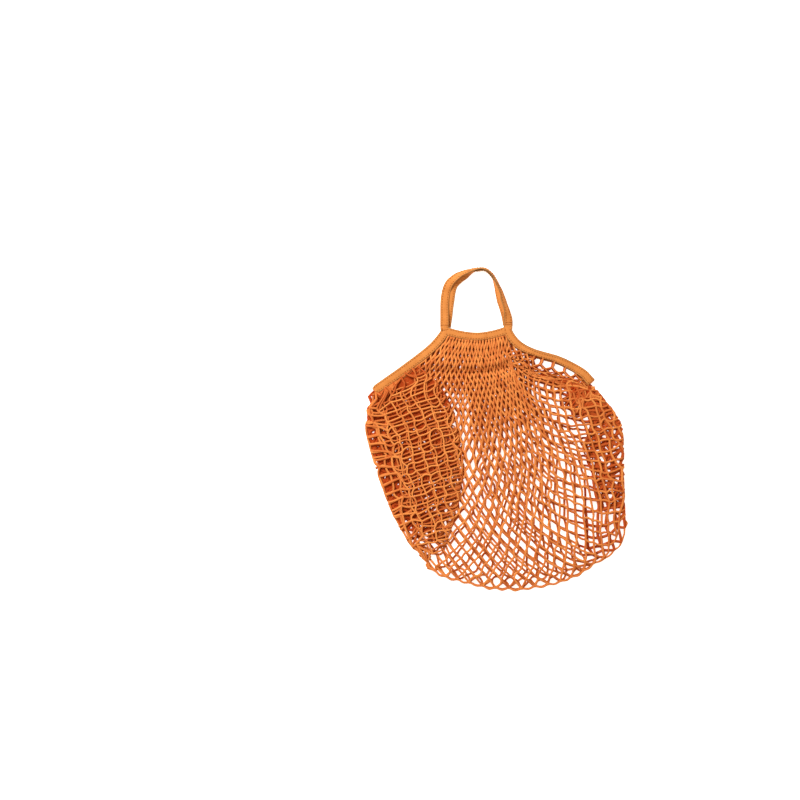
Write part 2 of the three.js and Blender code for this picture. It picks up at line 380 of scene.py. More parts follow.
LEDGE_OFFSET = 0.8
LEDGE_SPREAD = 0.9
LEDGE_RISE = 2.8
LEDGE_DIP = 5.5
HEIGHT_WANDER = 0.9
STRIP_WAVE = 2
foot_line = smooth_line(FOOT, LINE_STEPS)
height_waves = new_waves()


def gap_to(line, spots):
    gaps = (spots ** 2).sum(1)[:, None] + (line ** 2).sum(1)[None] - 2 * spots @ line.T
    return np.sqrt(np.maximum(gaps.min(axis=1), 0))


def rounded(gap):
    """The gap to a fold's edge as seen from above, where the cords turn over."""
    share = np.minimum(gap / FOLD_ROUNDING, 1)
    return gap * share * (2 - share)


def turned_back(fold, spots, where):
    """The points folded back over a line, which of them lay outside it, and their gaps to the line."""
    reach = fold.reach(spots)
    gap = np.abs(reach)
    folded = pick(where, fold.moved(spots, -rounded(gap)), spots)
    return folded, where & (reach > 0), np.where(where, gap, np.inf)


def ledge_height(row, off_middle):
    """The pleat across the gathered middle: a brim above it and a dip below."""
    brim = np.exp(-((row - LEDGE_ROW + LEDGE_OFFSET) / LEDGE_SPREAD) ** 2)
    dip = np.exp(-((row - LEDGE_ROW - LEDGE_OFFSET) / LEDGE_SPREAD) ** 2)
    return (brim * LEDGE_RISE - dip * LEDGE_DIP) * (1 - smoothstep(off_middle, 8.5, 12.5))


def lay_net(spots, row, place, on_front):
    """Folds the sides of the net back, and gives each point its height over the floor."""
    everywhere = np.ones(len(spots), bool)
    flat, over, left_gap = turned_back(left_fold, spots, everywhere)
    flat, spare, border_gap = turned_back(flap_fold, flat, over)
    outside = spare
    for fold in (left_fold, flap_fold, left_fold):
        flat, outside, _ = turned_back(fold, flat, outside)
    past_side = spare & (left_fold.reach(flat) > SPARE_REACH)
    flat = pick(past_side, left_fold.moved(flat, SPARE_REACH), flat)
    flat, under, right_gap = turned_back(right_fold, flat, ~over)
    for fold in mouth_folds:
        reach = fold.reach(flat)
        covered = over & (reach > -TAPE_WIDTH / 2 - COVERED_GAP)
        flat = pick(covered, fold.moved(flat, TUCKED_REACH), flat)
        flat = pick(~over & (reach > 0), fold.moved(flat, -reach), flat)
    tape_gap = np.min([np.abs(fold.reach(flat)) for fold in mouth_folds], axis=0)
    layers = FRONT_LAYERS if on_front else BACK_LAYERS
    off_middle = np.abs(place - MIDDLE_COLUMN)
    wander = HEIGHT_WANDER * drift(spots, height_waves)[:, 0] + ledge_height(row, off_middle)
    height = layers["open"] + wander * on_front
    band_half = MIDDLE_COLUMN - LEFT_COLUMNS
    by_bindings = smoothstep(row, 1, 2) * (1 - smoothstep(row, 8, 11))
    by_bindings = by_bindings * smoothstep(off_middle, band_half, band_half + 2)
    height = height + STRIP_WAVE * by_bindings * np.sin(2.1 * row + 3.3 * place)
    below_flap = (1 - smoothstep(flap_fold.reach(flat), -15, 25)) * smoothstep(row, 0.5, 3)
    height = mix(height, layers["below flap"], below_flap)
    height = mix(height, layers["pleat"], 1 - smoothstep(right_gap, 45, 75))
    height = np.where(over, layers["flap"], height)
    height = np.where(spare, layers["spare"] - SPARE_DROP * (1 - smoothstep(tape_gap, 28, 46)), height)
    height = np.where(under, layers["under"], height)
    folds = (
        (left_gap, LEFT_FOLD_HEIGHT),
        (border_gap, FLAP_BORDER_HEIGHT),
        (right_gap, RIGHT_FOLD_HEIGHT),
        (gap_to(foot_line, flat), FOOT_HEIGHT),
    )
    for gap, middle in folds:
        nearness = 1 - np.clip(gap / FOLD_ROUNDING, 0, 1)
        height = mix(middle, height, np.sqrt(1 - nearness ** 2))
    sewn_height = FRONT_SEWN_HEIGHT if on_front else BACK_SEWN_HEIGHT
    inside_tape = np.where(over, TUCKED_HEIGHT, sewn_height)
    height = mix(inside_tape, height, smoothstep(tape_gap, TAPE_WIDTH / 2, TAPE_WIDTH))
    return np.concatenate([flat, np.maximum(height, LOWEST_HEIGHT)[:, None]], 1)


# Which knots lie where, once the net is folded
hung_spots = hang_net()
past_left = left_fold.reach(hung_spots)
past_right = right_fold.reach(hung_spots)
turned_spots = left_fold.mirrored(hung_spots)
hidden = np.where(past_left > 0, flap_fold.reach(turned_spots) > 0, flap_fold.reach(hung_spots) < 0)
in_flap = flap_points()[0]
by_left_tape = hidden & (past_left < 0) & (left_tape.reach(hung_spots) > -30)
tucked_in = in_flap & (left_tape.reach(turned_spots) > -TAPE_WIDTH / 2)
tangled = (net.place > RIGHT_START + 5.2) & (net.row > 1) & (net.row < 16)
bunched = ((net.place > RIGHT_START + 3.2) & (net.row < 9)) | tangled

# The front half: it wanders a little all over and is crumpled in its folds
CRUMPLE = 0.6
FLAP_CRUMPLE = 0.6
FOLD_CRUMPLE = 2.4
FRONT_WANDER = 3
by_left_fold = smoothstep(past_left, -25, 0) * (1 - smoothstep(past_left, 25, 50))
in_pleat = smoothstep(past_right, -45, -25) * smoothstep(net.row, 6, 9)
in_folds = np.maximum(0.6 * by_left_fold, hidden) * smoothstep(net.row, 6, 12)
crumple = CRUMPLE + FLAP_CRUMPLE * in_flap + FOLD_CRUMPLE * np.maximum(in_folds, 0.8 * in_pleat)
crumple = np.where(tucked_in, CRUMPLE, crumple)[:, None]
front_wander = FRONT_WANDER * drift(hung_spots, new_waves())
front_wander += crumple * draws.standard_normal(hung_spots.shape)
front_spots = hung_spots + smoothstep(net.row, 0, 3)[:, None] * front_wander

# The back half: it lies a little askew of the front, about half a mesh aside where both show
BACK_WANDER = 6
FOOT_WANDER = 7
HALF_COLUMNS = [(0, 2.4), (6, 4), (11, 4.5), (16, 5.2), (20, 6), (24, 0)]
BUNCHED_SHIFT = (6, -3.5)
FOOT_LEFT_SHIFT = (7, 1)
FOOT_RIGHT_SHIFT = (6, -6)
FLAP_SHIFT = (0.8, -6)
HIDDEN_SHIFT = (6, 6)
off_middle = net.place - MIDDLE_COLUMN
in_gather = 1 - smoothstep(np.where(off_middle < 0, -0.6 * off_middle, off_middle - 1.5), 9.5, 14.5)
by_left_leg = 1 - smoothstep(net.place, LEFT_COLUMNS - 1, LEFT_COLUMNS + 2)
by_left_leg *= smoothstep(net.row, 0, 1.5) * (1 - smoothstep(net.row, 9, 12))
apart = 1 - np.abs(2 * net.place / COLUMNS - 1) ** 6
apart *= smoothstep(net.row, 0, 3) * smoothstep(FOOT_ROW - net.row, 0, 3)
apart *= 1 - 0.7 * smoothstep(net.place, RIGHT_START - 3, RIGHT_START + 1)
apart *= np.where(in_flap, 0.25, 1) * np.where((net.place > RIGHT_START) & (net.row < 10), 0.1, 1)
apart *= 1 - 0.8 * in_gather * (1 - smoothstep(net.row, 14, 20))
apart *= 1 - by_left_leg
near_foot = smoothstep(net.row, 18, 24) * smoothstep(FOOT_ROW - net.row, 0, 1.5) * ~in_flap
back_wander = (BACK_WANDER + FOOT_WANDER * near_foot) * apart
back_spots = front_spots + back_wander[:, None] * drift(hung_spots, new_waves())
back_spots += (crumple - CRUMPLE) * draws.standard_normal(hung_spots.shape)
by_flap = 1 - smoothstep(net.place, MIDDLE_COLUMN - 3.5, MIDDLE_COLUMN - 1.5)
by_flap *= smoothstep(net.row, 8, 11)
sideways = np.outer(read_off(net.row, HALF_COLUMNS) * in_gather * (1 - by_flap), (1, 0))
half_step = np.zeros_like(hung_spots)
half_step[net.beside[:, 0]] = (hung_spots[net.beside[:, 1]] - hung_spots[net.beside[:, 0]]) / 2
back_spots += mix(sideways, half_step, by_left_leg[:, None])
in_bunch = smoothstep(net.row + 2 * (net.place < RIGHT_START + 3.2), 1, 2.5)
in_bunch *= (1 - smoothstep(net.row, 9, 12)) * smoothstep(net.place, RIGHT_START - 1, RIGHT_START + 1)
at_right = smoothstep(net.place, MIDDLE_COLUMN + 2, MIDDLE_COLUMN + 9)
by_pleat = smoothstep(past_right, -50, -30) * smoothstep(net.row, 10, 14)
foot_shift = np.outer(1 - at_right, FOOT_LEFT_SHIFT) + np.outer(at_right, FOOT_RIGHT_SHIFT)
back_spots += np.outer(in_bunch, BUNCHED_SHIFT) + np.maximum(near_foot, by_pleat)[:, None] * foot_shift
back_spots += np.outer(in_flap & ~hidden & ~tucked_in, FLAP_SHIFT)
back_spots += np.outer(hidden, HIDDEN_SHIFT)

# Painted shade, as shares of the lighter dye: deep inside folds, where little light comes, cords are painted
# darker and redder
# The top layer of the left flap is painted lighter, and cords under other layers, by the tapes and in the
# pocket at the end of the right binding are painted darker.
PACKED_SHADE = 0.8
TUCKED_SHADE = 0.5
LOWER_FLAP_SHADE = 0.7
UPPER_FLAP_SHADE = 1.3
BUNCHED_SHADE = 0.25
PLEAT_SHADE = 0.3
LEFT_SHADES = [(14, 0.7), (45, 0.18)]
BACK_SHADES = [(10, 0.5), (18, 1)]
BINDING_POCKET = (138, 62)
FRONT_POCKET_SIZE = 8
FRONT_POCKET_SHADE = 0.4
BACK_POCKET_SIZE = 12
BACK_POCKET_SHADE = 0.1


def fold_shades(on_front):
    """The painted shade of each knot, darker deep inside folds and lighter on top of the flap, and which
    knots lie slack deep inside folds.
    """
    seen_spots = pick(past_left > 0, turned_spots, hung_spots)
    border_gap = np.abs(flap_fold.reach(seen_spots))
    off_edges = (left_tape.reach(seen_spots) < -30) & (border_gap > 14) & (np.abs(past_left) > 16)
    in_left = hidden & off_edges
    pocket_gap = np.linalg.norm(hung_spots - BINDING_POCKET, axis=1)
    flap_seen = in_flap & ~hidden
    if on_front:
        deep = in_left | (past_right > 14)
        shades = np.where(by_left_tape, PACKED_SHADE, 1)
        shades = np.where(pocket_gap < FRONT_POCKET_SIZE, FRONT_POCKET_SHADE, shades)
        shades = np.where(flap_seen, LOWER_FLAP_SHADE, shades)
    else:
        deep = (in_left & (past_left > 0)) | ((np.abs(past_right) < 55) & (net.row > 8))
        shades = np.where(flap_seen, UPPER_FLAP_SHADE, read_off(net.row, BACK_SHADES))
        shades = np.where(bunched & ~tangled, BUNCHED_SHADE, shades)
        shades = np.where(pocket_gap < BACK_POCKET_SIZE, BACK_POCKET_SHADE, shades)
    shades = np.where(tucked_in, TUCKED_SHADE, shades)
    deep_shades = np.where(in_left, read_off(border_gap, LEFT_SHADES), PLEAT_SHADE)
    return np.where(deep, deep_shades, shades), deep


def linear(code):
    """A linear colour with alpha from an sRGB hex code."""
    parts = np.array([int(code[k:k + 2], 16) for k in (1, 3, 5)]) / 255
    parts = np.where(parts <= 0.04045, parts / 12.92, ((parts + 0.055) / 1.055) ** 2.4)
    return (*parts.tolist(), 1.0)


def add_node(material, kind, values=None, links=None, **settings):
    """A shader node with its settings, its fixed input values and its links from other nodes' outputs."""
    made = material.node_tree.nodes.new(kind)
    for name, value in settings.items():
        setattr(made, name, value)
    for name, value in (values or {}).items():
        made.inputs[name].default_value = value
    for name, source in (links or {}).items():
        material.node_tree.links.new(source, made.inputs[name])
    return made


def new_material(name):
    material = bpy.data.materials.new(name)
    material.use_nodes = True
    material.node_tree.nodes.clear()
    return material


# Twisted cotton cord, matte and soft: its three plies show as slanting ridges, and no two cords are dyed
# quite alike. The deep colour is also the painted shade of cords deep inside the folds.
DARK_DYE_AND_PAINTED_SHADE = "#A02C03"
LIGHT_DYE = "#DB8B49"
PLIES = 3
TWIST_LENGTH = 7.0
PLY_DEPTH = 0.0003
cotton_cord = new_material("twisted cotton cord")
cord_map = add_node(cotton_cord, "ShaderNodeUVMap", uv_map="weave")
cord_place = add_node(cotton_cord, "ShaderNodeSeparateXYZ", links={"Vector": cord_map.outputs["UV"]})
cord_turns = add_node(
    cotton_cord, "ShaderNodeMath", {1: 1 / TWIST_LENGTH}, {0: cord_place.outputs["X"]}, operation="MULTIPLY"
)
cord_twist = add_node(
    cotton_cord, "ShaderNodeMath",
    links={0: cord_turns.outputs[0], 1: cord_place.outputs["Y"]}, operation="ADD",
)
cord_phase = add_node(
    cotton_cord, "ShaderNodeMath", {1: PLIES * np.pi}, {0: cord_twist.outputs[0]}, operation="MULTIPLY"
)
cord_wave = add_node(cotton_cord, "ShaderNodeMath", links={0: cord_phase.outputs[0]}, operation="SINE")
cord_plies = add_node(cotton_cord, "ShaderNodeMath", links={0: cord_wave.outputs[0]}, operation="ABSOLUTE")
cord_bump = add_node(
    cotton_cord, "ShaderNodeBump", {"Strength": 0.7, "Distance": PLY_DEPTH},
    {"Height": cord_plies.outputs[0]},
)
cord_tone = add_node(cotton_cord, "ShaderNodeAttribute", attribute_name="tone")
cord_colour = add_node(
    cotton_cord, "ShaderNodeMix", {6: linear(DARK_DYE_AND_PAINTED_SHADE), 7: linear(LIGHT_DYE)},
    {0: cord_tone.outputs["Fac"]}, data_type="RGBA",
)
cord_skin = add_node(
    cotton_cord, "ShaderNodeBsdfPrincipled", {"Roughness": 0.9, "Specular IOR Level": 0.05},
    {"Base Color": cord_colour.outputs[2], "Normal": cord_bump.outputs["Normal"]},
)
add_node(cotton_cord, "ShaderNodeOutputMaterial", links={"Surface": cord_skin.outputs["BSDF"]})

# How finely cords and knots are drawn, how far a slack cord bows, and the sizes of the knots
CORD_STEPS = 5
CORD_SIDES = 5
LEAST_SLACK = 0.15
MOST_SLACK = 6
MOST_BOW = 0.22
LOOP_BOW = 0.3
KNOT_SIZE = 1.6
KNOT_CORD = 0.95
KNOT_STEPS = 9
KNOT_SIDES = 4
KNOT_SCALES = [(LAST_SMALL_ROW, 0.55), (FIRST_LARGE_ROW, 0.95)]
FOOT_CORD_WIDTH = 3.2
FOOT_CORD_STEPS = 400
FOOT_CORD_SHADE = 0.75


def ring_faces(first, second, sides):
    """Four-cornered faces between rings of corners, from the numbers of the rings' first corners."""
    here = np.arange(sides)
    there = (here + 1) % sides
    return np.stack([first + here, first + there, second + there, second + here], -1).reshape(-1, 4)


def pattern_places(near, far, low, high):
    """Each face corner's place on the pattern: how far along the piece, and how far round it."""
    near, far, low, high = np.broadcast_arrays(near, far, low, high)
    corners = ((near, low), (near, high), (far, high), (far, low))
    return np.stack([np.stack(corner, -1) for corner in corners], -2).reshape(-1, 2)


def tubes(paths, radius, sides, closed=False):
    """Round tubes along paths: their corners, their faces and their places on the pattern."""
    count, steps = paths.shape[:2]
    if closed:
        along = np.roll(paths, -1, axis=1) - np.roll(paths, 1, axis=1)
    else:
        along = np.gradient(paths, axis=1)
    along /= np.maximum(np.linalg.norm(along, axis=2, keepdims=True), 1e-6)
    across = np.cross(along, np.array([0.02, 0.01, 1.0]))
    across /= np.maximum(np.linalg.norm(across, axis=2, keepdims=True), 1e-6)
    up = np.cross(across, along)
    turn = np.linspace(0, 2 * np.pi, sides, endpoint=False)
    rings = across[:, :, None] * np.cos(turn)[:, None] + up[:, :, None] * np.sin(turn)[:, None]
    corners = paths[:, :, None] + radius * rings
    rows = np.arange(steps if closed else steps - 1)
    first = (np.arange(count)[:, None, None] * steps + rows[None, :, None]) * sides
    second = (np.arange(count)[:, None, None] * steps + (rows[None, :, None] + 1) % steps) * sides
    lengths = np.linalg.norm(np.roll(paths, -1, axis=1) - paths, axis=2)[:, rows]
    far = np.cumsum(lengths, axis=1)[:, :, None]
    near = far - lengths[:, :, None]
    places = pattern_places(near, far, np.arange(sides) / sides, np.arange(1, sides + 1) / sides)
    return corners.reshape(-1, 3), ring_faces(first, second, sides), places


def make_piece(name, corners, faces, places, tones, material):
    """A smooth-shaded mesh from corners in millimetres, with its pattern map and a tone at each corner."""
    mesh = bpy.data.meshes.new(name)
    mesh.vertices.add(len(corners))
    mesh.vertices.foreach_set("co", (corners * 0.001).ravel())
    mesh.loops.add(faces.size)
    mesh.loops.foreach_set("vertex_index", faces.ravel())
    mesh.polygons.add(len(faces))
    mesh.polygons.foreach_set("loop_start", np.arange(0, faces.size, faces.shape[1]))
    mesh.update(calc_edges=True)
    mesh.uv_layers.new(name="weave").data.foreach_set("uv", places.ravel())
    mesh.attributes.new("tone", "FLOAT", "POINT").data.foreach_set("value", tones)
    mesh.shade_smooth()
    mesh.materials.append(material)
    piece = bpy.data.objects.new(name, mesh)
    bpy.context.scene.collection.objects.link(piece)
    return piece


def cord_paths(spots):
    """Points along each cord, running smoothly through its knots and bowed a little where it is slack."""
    before, start, end, after = (spots[net.cords[:, k]][:, None] for k in range(4))
    share = np.linspace(0, 1, CORD_STEPS)[None, :, None]
    slope_in = 0.25 * (end - before) + 0.5 * (end - start)
    slope_out = 0.25 * (after - start) + 0.5 * (end - start)
    paths = smooth_span(start, end, slope_in, slope_out, share)
    reach = (end - start)[:, 0]
    length = np.linalg.norm(reach, axis=1)
    slack = np.clip(net.mesh_side - length, LEAST_SLACK, MOST_SLACK)
    bow = np.minimum(np.sqrt(0.375 * length * slack), MOST_BOW * length)
    bow = bow * draws.uniform(-0.9, 0.9, len(length))
    first, second = net.ends.T
    loops = (net.row[first] == 0) & (net.place[first] > RIGHT_START + 1)
    bow = np.where(loops, LOOP_BOW * length * np.sign(net.place[second] - net.place[first]), bow)
    sidewards = np.stack([-reach[:, 1], reach[:, 0]], -1) / np.maximum(length, SMALLEST_LENGTH)[:, None]
    return paths + (bow[:, None] * sidewards)[:, None] * 4 * share * (1 - share)


def cord_widths(on_front, deep):
    upper_width = UPPER_CORD_WIDTH if on_front else SLACK_CORD_WIDTH
    widths = read_off(net.row[net.starts], [(8, upper_width), (16, CORD_WIDTH)])
    widths = np.where(deep[net.ends].all(axis=1), SLACK_CORD_WIDTH, widths)
    widths = np.where((in_flap & ~deep)[net.ends].all(axis=1), TAUT_CORD_WIDTH, widths)
    packed = (by_left_tape | bunched)[net.ends].all(axis=1) & on_front
    return np.where(packed, PACKED_CORD_WIDTH, widths)


def make_cords(side_name, spots, on_front):
    paths = cord_paths(spots)
    rows = (net.row[net.starts][:, None] + np.linspace(0, 1, CORD_STEPS)).ravel()
    columns = np.repeat(net.place[net.starts], CORD_STEPS)
    laid = lay_net(paths.reshape(-1, 2), rows, columns, on_front).reshape(*paths.shape[:2], 3)
    shades, deep = fold_shades(on_front)
    radius = cord_widths(on_front, deep)[:, None, None, None] / 2
    corners, faces, places = tubes(laid, radius, CORD_SIDES)
    own_tones = draws.uniform(0.5, 1, len(laid))
    # Each cord's tone is a random dye tone times the painted shade of its darker knot; in the tangle and by
    # the left tape the random tone spreads wider, so that some cords are painted dark, as shade between the
    # light ones.
    own_tones = np.where((tangled | by_left_tape)[net.starts], 1.8 * own_tones - 0.8, own_tones)
    tones = np.repeat(shades[net.ends].min(axis=1) * own_tones, CORD_STEPS * CORD_SIDES)
    return make_piece(f"net_{side_name}_cords", corners, faces, places, tones, cotton_cord)


def make_knots(side_name, spots, on_front):
    """Small trefoil loops, one wherever two cords are tied."""
    turn = np.linspace(0, 2 * np.pi, KNOT_STEPS, endpoint=False)
    x = KNOT_SIZE * (np.sin(turn) + 2 * np.sin(2 * turn)) / 3
    y = KNOT_SIZE * (np.cos(turn) - 2 * np.cos(2 * turn)) / 3
    z = -0.4 * KNOT_SIZE * np.sin(3 * turn)
    tied = net.row > 0
    middles = lay_net(spots[tied], net.row[tied], net.place[tied], on_front)
    spins = draws.uniform(0, 2 * np.pi, len(middles))[:, None]
    sizes = draws.uniform(0.9, 1.1, (len(middles), 1))
    sizes *= read_off(net.row[tied], KNOT_SCALES)[:, None]
    curves = np.stack([
        middles[:, :1] + sizes * (np.cos(spins) * x - np.sin(spins) * y),
        middles[:, 1:2] + sizes * (np.sin(spins) * x + np.cos(spins) * y),
        middles[:, 2:] + sizes * z,
    ], -1)
    corners, faces, places = tubes(curves, KNOT_CORD * sizes[:, :, None, None], KNOT_SIDES, closed=True)
    # Each knot's tone is its painted fold shade times a random dye tone.
    tones = fold_shades(on_front)[0][tied] * draws.uniform(0.5, 1, len(middles))
    tones = np.repeat(tones, KNOT_STEPS * KNOT_SIDES)
    return make_piece(f"net_{side_name}_knots", corners, faces, places, tones, cotton_cord)


def make_foot_cord(side_name, spots, on_front):
    """The cord that runs through the lowest knots and sags a little between them."""
    lowest = spots[(net.row == FOOT_ROW) & (net.place >= FLAP_COLUMNS)]
    steps = np.diff(lowest, axis=0)
    outwards = np.stack([steps[:, 1], -steps[:, 0]], -1) / np.linalg.norm(steps, axis=1, keepdims=True)
    sags = (lowest[:-1] + lowest[1:]) / 2 + outwards * draws.uniform(1.5, 3.5, (len(steps), 1))
    course = np.concatenate([np.stack([lowest[:-1], sags], 1).reshape(-1, 2), lowest[-1:]])
    course = smooth_line(course, FOOT_CORD_STEPS)
    row = np.full(FOOT_CORD_STEPS, FOOT_ROW)
    laid = lay_net(course, row, np.zeros(FOOT_CORD_STEPS), on_front)[None]
    corners, faces, places = tubes(laid, FOOT_CORD_WIDTH / 2, CORD_SIDES)
    tones = np.full(len(corners), FOOT_CORD_SHADE)
    return make_piece(f"net_{side_name}_foot_cord", corners, faces, places, tones, cotton_cord)


for side_name, half_spots in (("front", front_spots), ("back", back_spots)):
    on_front = side_name == "front"
    half_pieces = []
    for make in (make_cords, make_knots, make_foot_cord):
        half_pieces.append(make(side_name, half_spots, on_front))
    for piece in half_pieces:
        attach(piece, "root")
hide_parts("net")

# The bands
# Two short cotton tapes, folded double over the net's gathered edge and sewn down with two rows of stitches,
# one at the front and one at the back. They sag between the feet of the handles.
TAPE_THICKNESS = 2.2
BAND_WIDTH = 12.5
TAPE_STEP = 2.0
SECTION_STEPS = 16
SEAM_PLACE = 0.58
GROOVE_DEPTH = 0.4
GROOVE_WIDTH = 0.09
STITCH_PITCH = 4.2
STITCH_LENGTH = 3.0
STITCH_HEIGHTS = (-0.4, 0.35, 0.35, -0.4)
STITCH_STEPS = len(STITCH_HEIGHTS)
STITCH_SIDES = 5
THREAD_WIDTH = 0.9
CROSS_PITCH = 2.9
CROSS_LENGTH = 2.2
CROSS_INSET = 1

# Plain-woven cotton tape, matte: crossing threads catch the light softly, and it is faded in patches, with
# painted shade along its edges. The threads are drawn twice as coarse as the real 0.4 mm, so that they show.
FADED_DYE = "#D78F4E"
FULL_DYE = "#B87030"
PAINTED_EDGE_SHADE = "#8C673C"
THREAD_PITCH = 0.8
THREAD_DEPTH = 0.0002
FADED_PATCH = 25 / 3
cotton_tape = new_material("woven cotton tape")
tape_map = add_node(cotton_tape, "ShaderNodeUVMap", uv_map="weave")
tape_place = add_node(cotton_tape, "ShaderNodeSeparateXYZ", links={"Vector": tape_map.outputs["UV"]})
tape_threads = []
for axis in ("X", "Y"):
    scaled = add_node(
        cotton_tape, "ShaderNodeMath", {1: np.pi / THREAD_PITCH}, {0: tape_place.outputs[axis]},
        operation="MULTIPLY",
    )
    threads = add_node(cotton_tape, "ShaderNodeMath", links={0: scaled.outputs[0]}, operation="SINE")
    tape_threads.append(threads.outputs[0])
tape_weave = add_node(
    cotton_tape, "ShaderNodeMath", links={0: tape_threads[0], 1: tape_threads[1]}, operation="MULTIPLY"
)
tape_bump = add_node(
    cotton_tape, "ShaderNodeBump", {"Strength": 0.5, "Distance": THREAD_DEPTH},
    {"Height": tape_weave.outputs[0]},
)
tape_noise = add_node(
    cotton_tape, "ShaderNodeTexNoise", {"Scale": 1 / FADED_PATCH, "Detail": 4.0},
    {"Vector": tape_map.outputs["UV"]},
)
tape_middle = add_node(
    cotton_tape, "ShaderNodeMix", {6: linear(FULL_DYE), 7: linear(FADED_DYE)},
    {0: tape_noise.outputs["Fac"]}, data_type="RGBA",
)
tape_tone = add_node(cotton_tape, "ShaderNodeAttribute", attribute_name="tone")
tape_colour = add_node(
    cotton_tape, "ShaderNodeMix", {6: linear(PAINTED_EDGE_SHADE)},
    {0: tape_tone.outputs["Fac"], 7: tape_middle.outputs[2]}, data_type="RGBA",
)
tape_skin = add_node(
    cotton_tape, "ShaderNodeBsdfPrincipled", {"Roughness": 0.85, "Specular IOR Level": 0.1},
    {"Base Color": tape_colour.outputs[2], "Normal": tape_bump.outputs["Normal"]},
)
add_node(cotton_tape, "ShaderNodeOutputMaterial", links={"Surface": tape_skin.outputs["BSDF"]})

# Cotton sewing thread, matte, redder and darker than the tape, so that the seams show as dotted lines
sewing_thread = new_material("cotton sewing thread")
thread_skin = add_node(
    sewing_thread, "ShaderNodeBsdfPrincipled",
    {"Base Color": linear("#8A4616"), "Roughness": 0.8, "Specular IOR Level": 0.1},
)
add_node(sewing_thread, "ShaderNodeOutputMaterial", links={"Surface": thread_skin.outputs["BSDF"]})


def tape_section():
    """A tape's outline across, by shares of half its width: round edges, and a groove at each seam."""
    spread = np.cos(np.linspace(0, np.pi, SECTION_STEPS))
    groove = GROOVE_DEPTH * np.exp(-((np.abs(spread) - SEAM_PLACE) / GROOVE_WIDTH) ** 2)
    half = TAPE_THICKNESS / 2 * (1 - np.abs(spread) ** 5) ** 0.5 - groove
    return np.concatenate([np.stack([spread, half], -1), np.stack([spread, -half], -1)[-2:0:-1]])


def seam_stitches(reach, middle, across, face, widths, ripple, cross_seams):
    """Paths of the stitches along both edges of a tape, on both its faces, and of its cross seams."""
    starts = np.arange(STITCH_PITCH, reach[-1] - STITCH_PITCH, STITCH_PITCH)
    steps = starts[:, None] + np.linspace(0, STITCH_LENGTH, STITCH_STEPS)
    lift = TAPE_THICKNESS / 2 - GROOVE_DEPTH + np.array(STITCH_HEIGHTS)[None, :, None]
    rise = points_at(steps, reach, face) * lift
    stitches = []
    for seam in (-SEAM_PLACE, SEAM_PLACE):
        aside = points_at(steps, reach, across * widths[:, None]) * seam / 2
        rippled = points_at(steps, reach, face * ripple[:, None]) * seam
        line = points_at(steps, reach, middle) + aside + rippled
        stitches += [line + rise, line - rise]
    seam_half = TAPE_WIDTH / 2 - CROSS_INSET
    starts = np.arange(-seam_half, seam_half - CROSS_LENGTH, CROSS_PITCH)
    spread = starts[:, None, None] + np.linspace(0, CROSS_LENGTH, STITCH_STEPS)[None, :, None]
    for seam in cross_seams:
        spot, side, up = (points_at(seam, reach, part) for part in (middle, across, face))
        stitches.append(spot + side * spread + up * (lift + GROOVE_DEPTH))
    return np.concatenate(stitches)


def sew_tape(name, middle, across, width, cross_seams=()):
    """A tape along its middle line, folded double, with its stitches, cockled a little as it lies."""
    along = np.gradient(middle, axis=0)
    along /= np.linalg.norm(along, axis=1, keepdims=True)
    face = np.cross(along, across)
    reach = line_reach(middle)
    ripple = 0.3 * np.sin(reach / 3.1) * np.sin(reach / 11 + 1)
    cockle = 0.3 * np.sin(reach / 7.9) + 0.25 * np.sin(reach / 4.7 + 2)
    middle = middle + face * cockle[:, None]
    section = tape_section()
    sides = len(section)
    widths = np.broadcast_to(width, len(middle))
    offsets = across[:, None] * section[None, :, :1] * widths[:, None, None] / 2
    offsets = offsets + face[:, None] * (section[:, 1:] + ripple[:, None, None] * section[:, :1])
    corners = (middle[:, None] + offsets).reshape(-1, 3)
    first = np.arange(len(middle) - 1)[:, None] * sides
    faces = ring_faces(first, first + sides, sides)
    girth = line_reach(section * [TAPE_WIDTH / 2, 1])
    girth_end = np.append(girth[1:], girth[-1] + 0.5)
    places = pattern_places(reach[:-1, None], reach[1:, None], girth[None], girth_end[None])
    # Painted shade along both edges: the tone falls off towards the edges and mixes in the darker edge
    # colour.
    tones = np.tile(1 - smoothstep(np.abs(section[:, 0]), 0.72, 1.0), len(middle))
    tape = make_piece(f"{name}_tape", corners, faces, places, tones, cotton_tape)
    stitches = seam_stitches(reach, middle, across, face, widths, ripple, cross_seams)
    corners, faces, places = tubes(stitches, THREAD_WIDTH / 2, STITCH_SIDES)
    thread = make_piece(f"{name}_stitches", corners, faces, places, np.ones(len(corners)), sewing_thread)
    for piece in (thread, tape):
        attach(piece, "root")
    return tape


def flat_line(points, height):
    """A smooth line at one height, in steps along the tape."""
    length = line_reach(smooth_line(points, 60))[-1]
    line = smooth_line(points, int(length / TAPE_STEP))
    return np.concatenate([line, np.full((len(line), 1), height)], 1)


def left_of(middle):
    along = np.gradient(middle, axis=0)
    along[:, 2] = 0
    across = np.cross([0, 0, 1], along)
    return across / np.linalg.norm(across, axis=1, keepdims=True)


for side_name, height in (("front", FRONT_TAPE_HEIGHT), ("back", BACK_TAPE_HEIGHT)):
    band_middle = flat_line(BAND, height)
    band = sew_tape(f"band_{side_name}", band_middle, left_of(band_middle), BAND_WIDTH)
    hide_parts(f"band_{side_name}")

# The handle tapes
# Two long cotton tapes, folded double and sewn. Each binds one side of the mouth, front and back, folded
# over at the end of the mouth, and runs on as one short handle, sewn down at its other foot.
HANDLE = [
    (19, 161), (19, 172), (16.5, 187), (12, 203), (4, 224), (-5.5, 243), (-16.5, 252.5), (-29.5, 253),
    (-49.5, 248.5), (-67, 238.5), (-77.5, 225.5), (-82.5, 203), (-83, 176), (-83, 159),
]
FOOT_SHARE = 0.16
FRONT_HANDLE_HEIGHT = BACK_TAPE_HEIGHT + 2.6
BACK_HANDLE_HEIGHT = BACK_TAPE_HEIGHT + 0.4
FOLD_RADIUS = (FRONT_TAPE_HEIGHT - BACK_TAPE_HEIGHT) / 2
FOLD_STEPS = 9
SMOOTHINGS = 6

